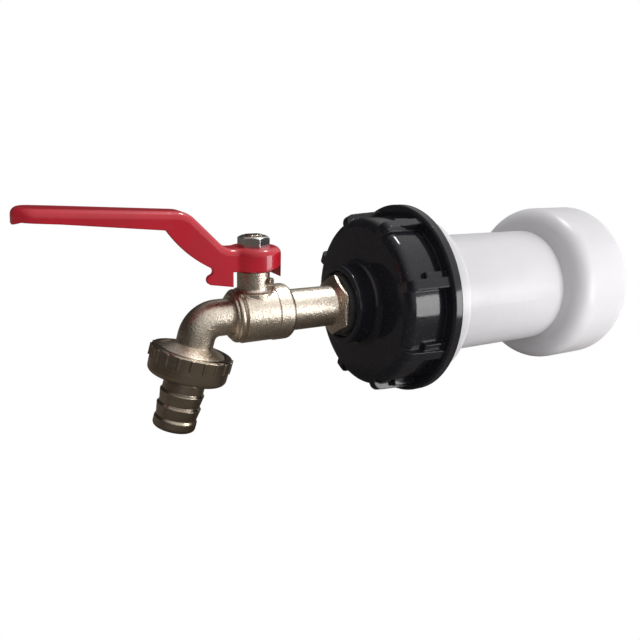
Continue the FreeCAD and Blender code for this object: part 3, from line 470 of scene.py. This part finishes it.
def bare_brass(settings):
    """Turned brass of the insert, dulled in patches."""
    finish = Finish("bare_brass")
    rings = finish.effect("lathe_rings", Vector=finish.turned_to((0, 1, 0), (0, 0, 0)),
                          Spacing=0.3 * MM)
    marks = finish.effect("handling_marks", Width=0.008)
    finish.wire("Base Color", finish.tree.mixed(marks["Mask"], rgba(settings.brass),
                                                rgba(settings.brass, 0.6)))
    finish.wire("Roughness", finish.tree.spread(marks["Mask"], 0, 1, 0.25, 0.42))
    finish.wire("Normal", finish.bump(rings["Height"], 0.03 * MM, 0.6))
    finish.fix(Metallic=1.0)
    return finish.material


def soft_rubber(settings):
    """Gasket rubber: matt, with a fine bloom of powder."""
    finish = Finish("soft_rubber")
    marks = finish.effect("handling_marks", Width=0.010)
    finish.wire("Base Color", finish.tree.mixed(marks["Mask"], rgba(settings.rubber),
                                                rgba(settings.rubber, 2.0)))
    finish.wire("Roughness", finish.tree.spread(marks["Mask"], 0, 1, 0.62, 0.80))
    skin = noise(finish.tree, finish.place, 1800.0, 2.0)
    finish.wire("Normal", finish.bump(skin, 0.05 * MM, 0.5))
    return finish.material


def waxy_ptfe(settings):
    """Skived PTFE: waxy white with faint tool lines."""
    finish = Finish("waxy_ptfe")
    marks = finish.effect("handling_marks", Width=0.006)
    finish.wire("Base Color", finish.tree.mixed(marks["Mask"], rgba(settings.ptfe),
                                                rgba(settings.ptfe, 0.9)))
    finish.wire("Roughness", finish.tree.spread(marks["Mask"], 0, 1, 0.42, 0.55))
    skin = noise(finish.tree, finish.place, 900.0, 2.0)
    finish.wire("Normal", finish.bump(skin, 0.04 * MM, 0.5))
    return finish.material


# ---------------------------------------------------------------- surfaces
def grid_mesh(name, rows):
    """A closed tube from a grid of points: each row is a ring, its two end rings capped.

    rows has the shape (rings, points in a ring, 3). Point i of ring r joins point i + 1 of
    the same ring and point i of ring r + 1; the first and the last ring are filled.
    """
    rings, around = rows.shape[:2]
    number = np.arange(rings * around).reshape(rings, around)
    beside = np.roll(number, -1, axis=1)
    quads = np.stack([number[:-1], beside[:-1], beside[1:], number[1:]], axis=-1)
    faces = quads.reshape(-1, 4).tolist()
    faces += [number[0, ::-1].tolist(), number[-1].tolist()]
    mesh = bpy.data.meshes.new(name)
    mesh.from_pydata(rows.reshape(-1, 3).tolist(), [], faces)
    mesh.update()
    return mesh


def outward(mesh):
    """Turn every face of a closed mesh outwards, going by the volume it encloses."""
    mesh.calc_loop_triangles()
    points = np.empty(len(mesh.vertices) * 3)
    mesh.vertices.foreach_get("co", points)
    corners = np.empty(len(mesh.loop_triangles) * 3, dtype=np.int32)
    mesh.loop_triangles.foreach_get("vertices", corners)
    a, b, c = points.reshape(-1, 3)[corners.reshape(-1, 3)].transpose(1, 0, 2)
    if np.einsum("ij,ij->", a, np.cross(b, c)) < 0:
        mesh.flip_normals()
    return mesh


def screw_thread(name, root, crest, pitch, start, run, foot, top, steps=72):
    """A ridge wound round +Z from height start over the run, rising from root to crest.

    At turn t the ridge's middle is at height start + pitch * t / (2 pi). Its section is a
    trapezium, foot wide at the root and top wide at the crest, sunk a little into the wall.
    Over the first and last third of a turn the crest rises out of the wall and sinks back.
    """
    turns = (run - foot) / pitch
    turn = np.linspace(0, turns * FULL_TURN, int(turns * steps) + 1)
    fade = np.clip(np.minimum(turn, turn[-1] - turn) / (FULL_TURN / 3), 0, 1)
    fade = 0.02 + 0.98 * fade * fade * (3 - 2 * fade)
    sunk = root - SUNK * np.sign(crest - root)
    middle = start + foot / 2 + pitch * turn / FULL_TURN
    reach = root + (crest - root) * fade
    flank = root + (reach - root) * FLANK_END
    radii = np.stack([np.full_like(turn, sunk), np.full_like(turn, root), flank, reach, reach,
                      flank, np.full_like(turn, root), np.full_like(turn, sunk)], axis=1)
    shoulder = top / 2 + FLANK_SPREAD * (foot - top) / 2
    across = np.array([-foot / 2, -foot / 2, -shoulder, -top * TOP_HALF, top * TOP_HALF,
                       shoulder, foot / 2, foot / 2])
    heights = middle[:, None] + across[None, :]
    rows = np.stack([radii * np.cos(turn)[:, None], radii * np.sin(turn)[:, None], heights],
                    axis=-1)
    return outward(grid_mesh(name, rows))


def set_on(mesh, origin, axis):
    """Move a mesh drawn along +Z to origin, with its Z along axis."""
    turn = Vector((0, 0, 1)).rotation_difference(Vector(axis)).to_matrix().to_4x4()
    mesh.transform(Matrix.Translation(Vector(origin)) @ turn)
    return mesh


def add_piece(name, mesh, material, body):
    """Put a new piece in the scene, riding on a body."""
    mesh.materials.append(material)
    mesh.polygons.foreach_set("use_smooth", [True] * len(mesh.polygons))
    piece = bpy.data.objects.new(name, mesh)
    bpy.context.scene.collection.objects.link(piece)
    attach(piece, body)


# ---------------------------------------------------------------- operators
def profile(node, joint):
    """Heights along a joint's axis and distances from it, of all points of a node's mesh."""
    piece = NODES[node]
    points = np.empty(len(piece.data.vertices) * 3)
    piece.data.vertices.foreach_get("co", points)
    turn = np.array(piece.matrix_world)
    from_joint = (points.reshape(-1, 3) @ turn[:3, :3].T + turn[:3, 3]
                  - np.array(JOINTS[joint]["pos_m"]))
    heights = from_joint @ np.array(JOINTS[joint]["axis"])
    return heights, np.sqrt(np.maximum((from_joint ** 2).sum(axis=1) - heights ** 2, 0))


def screw_pair(name, joint, inner, outer, pitch, gap, materials, bodies, slots):
    """The ridge on the inner node and, half a pitch further, its mate inside the outer one.

    The inner node's wall ends in a free tip and starts at a shoulder, the last height at
    which it is wider than at the tip. The outer node's bore is taken at its rim.
    """
    heights, radii = profile(inner, joint)
    tip = heights.max()
    root = radii[heights > tip - CLOSE].max()
    shoulder = heights[radii > root + gap].max()
    heights, radii = profile(outer, joint)
    bore = radii[heights < heights.min() + CLOSE].min()
    start = shoulder + PLAIN_AT_SHOULDER * pitch
    stop = tip - PLAIN_AT_TIP * pitch
    sides = ((root, bore - gap, start), (bore, root + gap, start + pitch / 2))
    for label, side, material, body, slot in zip(("outside", "inside"), sides, materials,
                                                 bodies, slots):
        wall, crest, first = side
        mesh = screw_thread(f"{name}_{label}", wall, crest, pitch, first, stop - first,
                            PAIR_FOOT * pitch, PAIR_TOP * pitch)
        set_on(mesh, JOINTS[joint]["pos_m"], JOINTS[joint]["axis"])
        add_piece(f"{name}_{label}", mesh, material, body)


class VALVE_OT_extension(bpy.types.Operator):
    """Dress the white extension and cut its tank thread"""

    bl_idname = "valve.extension"
    bl_label = "White extension"

    def execute(self, context):
        settings = context.scene.valve
        material = white_plastic(settings.plastic)
        dress(material, "extension_tube")
        socket = next(mount for mount in frame["record"]["mounts"]
                      if mount["name"] == "tank_socket")
        wall = socket["dims"]["r_mm"] * MM
        depth = socket["dims"]["length_mm"] * MM
        thread = settings.thread
        mesh = screw_thread("tank_thread", wall, wall - thread.socket_depth,
                            thread.socket_pitch, PLAIN_IN_SOCKET, depth - 2 * PLAIN_IN_SOCKET,
                            SOCKET_FOOT * thread.socket_pitch,
                            SOCKET_TOP * thread.socket_pitch)
        set_on(mesh, (0, 0, 0), (0, -1, 0))
        add_piece("tank_thread", mesh, material, "extension")
        return {"FINISHED"}


class VALVE_OT_cap(bpy.types.Operator):
    """Dress the black screw cap and cut the thread between it and the extension"""

    bl_idname = "valve.cap"
    bl_label = "Black cap"

    def execute(self, context):
        thread = context.scene.valve.thread
        black = black_plastic(context.scene.valve.plastic)
        dress(black, "cap_nut")
        screw_pair("cap_thread", "cap_turn", "extension_tube", "cap_nut", thread.cap_pitch,
                   thread.cap_gap, (bpy.data.materials["white_plastic"], black),
                   ("extension", "tap"), ("white_plastic", "black_plastic"))
        return {"FINISHED"}


class VALVE_OT_castings(bpy.types.Operator):
    """Dress the cast body and spout"""

    bl_idname = "valve.castings"
    bl_label = "Castings"

    def execute(self, context):
        dress(cast_nickel(context.scene.valve.metal), "valve_body", "spout")
        return {"FINISHED"}


class VALVE_OT_union(bpy.types.Operator):
    """Dress the turned pieces and cut the thread between the spout and the union nut"""

    bl_idname = "valve.union"
    bl_label = "Union and hose tail"

    def execute(self, context):
        thread = context.scene.valve.thread
        turned = turned_nickel(context.scene.valve.metal)
        dress(turned, "union_nut", "hose_tail", "ball", "stem", "gland_nut")
        screw_pair("union_thread", "union_turn", "spout", "union_nut", thread.union_pitch,
                   thread.union_gap, (bpy.data.materials["cast_nickel"], turned),
                   ("tap", "union"), ("cast_nickel", "smooth_nickel"))
        return {"FINISHED"}


class VALVE_OT_lever(bpy.types.Operator):
    """Dress the painted lever and its zinc nut"""

    bl_idname = "valve.lever"
    bl_label = "Lever and nut"

    def execute(self, context):
        dress(red_paint(context.scene.valve.paint), "lever")
        dress(bright_zinc(context.scene.valve.metal), "lever_nut")
        return {"FINISHED"}


class VALVE_OT_seals(bpy.types.Operator):
    """Dress the gaskets, seats, packing and the brass insert"""

    bl_idname = "valve.seals"
    bl_label = "Seals and insert"

    def execute(self, context):
        settings = context.scene.valve
        dress(soft_rubber(settings.plastic), "tank_gasket", "cap_gasket", "inlet_washer",
              "hose_gasket")
        dress(waxy_ptfe(settings.plastic), "seat_inlet", "seat_outlet", "stem_washer",
              "stem_packing")
        dress(bare_brass(settings.metal), "insert")
        return {"FINISHED"}


def floor_material(shade):
    """Pale floor: plain white by itself, dark in reflections, and soft where it lights."""
    finish = Finish("pale_floor")
    path = finish.tree.add("ShaderNodeLightPath").outputs
    lit = finish.tree.mixed(path["Is Glossy Ray"], rgba(shade), DARK_FLOOR)
    finish.wire("Base Color", finish.tree.mixed(path["Is Camera Ray"], lit, (0, 0, 0, 1)))
    finish.fix(Roughness=1.0, Specular_IOR_Level=0.0, Emission_Color=(1, 1, 1, 1))
    finish.wire("Emission Strength", path["Is Camera Ray"])
    return finish.material


def area_light(name, place, aim, size, power):
    """A rectangular soft light at place, facing aim."""
    light = bpy.data.lights.new(name, "AREA")
    light.shape = "RECTANGLE"
    light.size, light.size_y = size
    light.energy = power
    lamp = bpy.data.objects.new(name, light)
    lamp.location = place
    lamp.rotation_euler = (Vector(aim) - Vector(place)).to_track_quat("-Z", "Y").to_euler()
    bpy.context.scene.collection.objects.link(lamp)


def studio_world(room):
    """White behind the object, even light on it, and a big soft light in its reflections."""
    world = bpy.data.worlds.new("studio")
    world.use_nodes = True
    tree = Tree(world.node_tree)
    world.node_tree.nodes.clear()
    way = tree.add("ShaderNodeTexCoord").outputs["Generated"]
    towards = tree.add("ShaderNodeVectorMath", {0: way, 1: SOFT_LIGHT_WAY},
                       operation="DOT_PRODUCT").outputs["Value"]
    mirrored = tree.mixed(tree.spread(towards, 0.0, 0.86), DARK_ROOM, LIGHT_ROOM)
    path = tree.add("ShaderNodeLightPath").outputs
    dim = tree.mixed(path["Is Glossy Ray"], (room, room, room, 1), mirrored)
    seen = tree.mixed(path["Is Camera Ray"], dim, (1, 1, 1, 1))
    shine = tree.add("ShaderNodeBackground", {"Color": seen, "Strength": 1.0})
    tree.add("ShaderNodeOutputWorld", {"Surface": shine.outputs[0]})
    bpy.context.scene.world = world


class VALVE_OT_stage(bpy.types.Operator):
    """Make the floor, the soft lights and the camera"""

    bl_idname = "valve.stage"
    bl_label = "Stage"

    def execute(self, context):
        studio = context.scene.valve.studio
        low, high = CAD_BOX
        middle = (low + high) / 2
        floor = bpy.data.meshes.new("floor")
        corners = ((-1, -1), (1, -1), (1, 1), (-1, 1))
        floor.from_pydata([(x * HALF_FLOOR, y * HALF_FLOOR, low.z) for x, y in corners], [],
                          [(0, 1, 2, 3)])
        floor.materials.append(floor_material(studio.floor))
        ground = bpy.data.objects.new("floor", floor)
        context.scene.collection.objects.link(ground)

        studio_world(studio.room)
        area_light("overhead", middle + OVERHEAD_OFFSET, middle, OVERHEAD_SIZE, studio.overhead)
        area_light("window", WINDOW_PLACE, CAP_SIDE, WINDOW_SIZE, studio.window)

        bearing, drop = studio.azimuth, studio.elevation
        sight = Vector((-math.sin(bearing) * math.cos(drop), math.cos(bearing) * math.cos(drop),
                        -math.sin(drop)))
        right = Vector((math.cos(bearing), math.sin(bearing), 0))
        up = right.cross(sight)
        across = math.cos(studio.roll) * right + math.sin(studio.roll) * up
        upright = math.cos(studio.roll) * up - math.sin(studio.roll) * right
        lens = bpy.data.cameras.new("camera")
        lens.sensor_width = 36.0
        lens.lens = studio.lens
        camera = bpy.data.objects.new("camera", lens)
        turn = Matrix((across, upright, -sight)).transposed().to_4x4()
        camera.matrix_world = Matrix.Translation(Vector(studio.camera_place)) @ turn
        context.scene.collection.objects.link(camera)
        context.scene.camera = camera
        context.scene.view_settings.view_transform = "Standard"
        return {"FINISHED"}


class VALVE_PT_sidebar(bpy.types.Panel):
    """Lists the valve's operators and settings in the sidebar."""

    bl_idname = "VALVE_PT_sidebar"
    bl_label = "Tank Outlet Valve"
    bl_space_type = "VIEW_3D"
    bl_region_type = "UI"
    bl_category = "Tank Valve"

    def draw(self, context):
        for step in STEPS:
            self.layout.operator(step.bl_idname)
        settings = context.scene.valve
        for part in ("plastic", "metal", "paint", "thread", "studio"):
            box = self.layout.box()
            box.label(text=part.capitalize())
            group = getattr(settings, part)
            for name in group.__annotations__:
                box.prop(group, name)


STEPS = (VALVE_OT_extension, VALVE_OT_cap, VALVE_OT_castings, VALVE_OT_union, VALVE_OT_lever,
         VALVE_OT_seals, VALVE_OT_stage)
CLASSES = (PlasticSettings, MetalSettings, PaintSettings, ThreadSettings, StudioSettings,
           ValveSettings, *STEPS, VALVE_PT_sidebar)


def register():
    for item in CLASSES:
        bpy.utils.register_class(item)
    bpy.types.Scene.valve = PointerProperty(type=ValveSettings)


def unregister():
    del bpy.types.Scene.valve
    for item in reversed(CLASSES):
        bpy.utils.unregister_class(item)


def main():
    register()
    for step in STEPS:
        group, action = step.bl_idname.split(".")
        getattr(getattr(bpy.ops, group), action)()


if __name__ == "__main__":
    main()
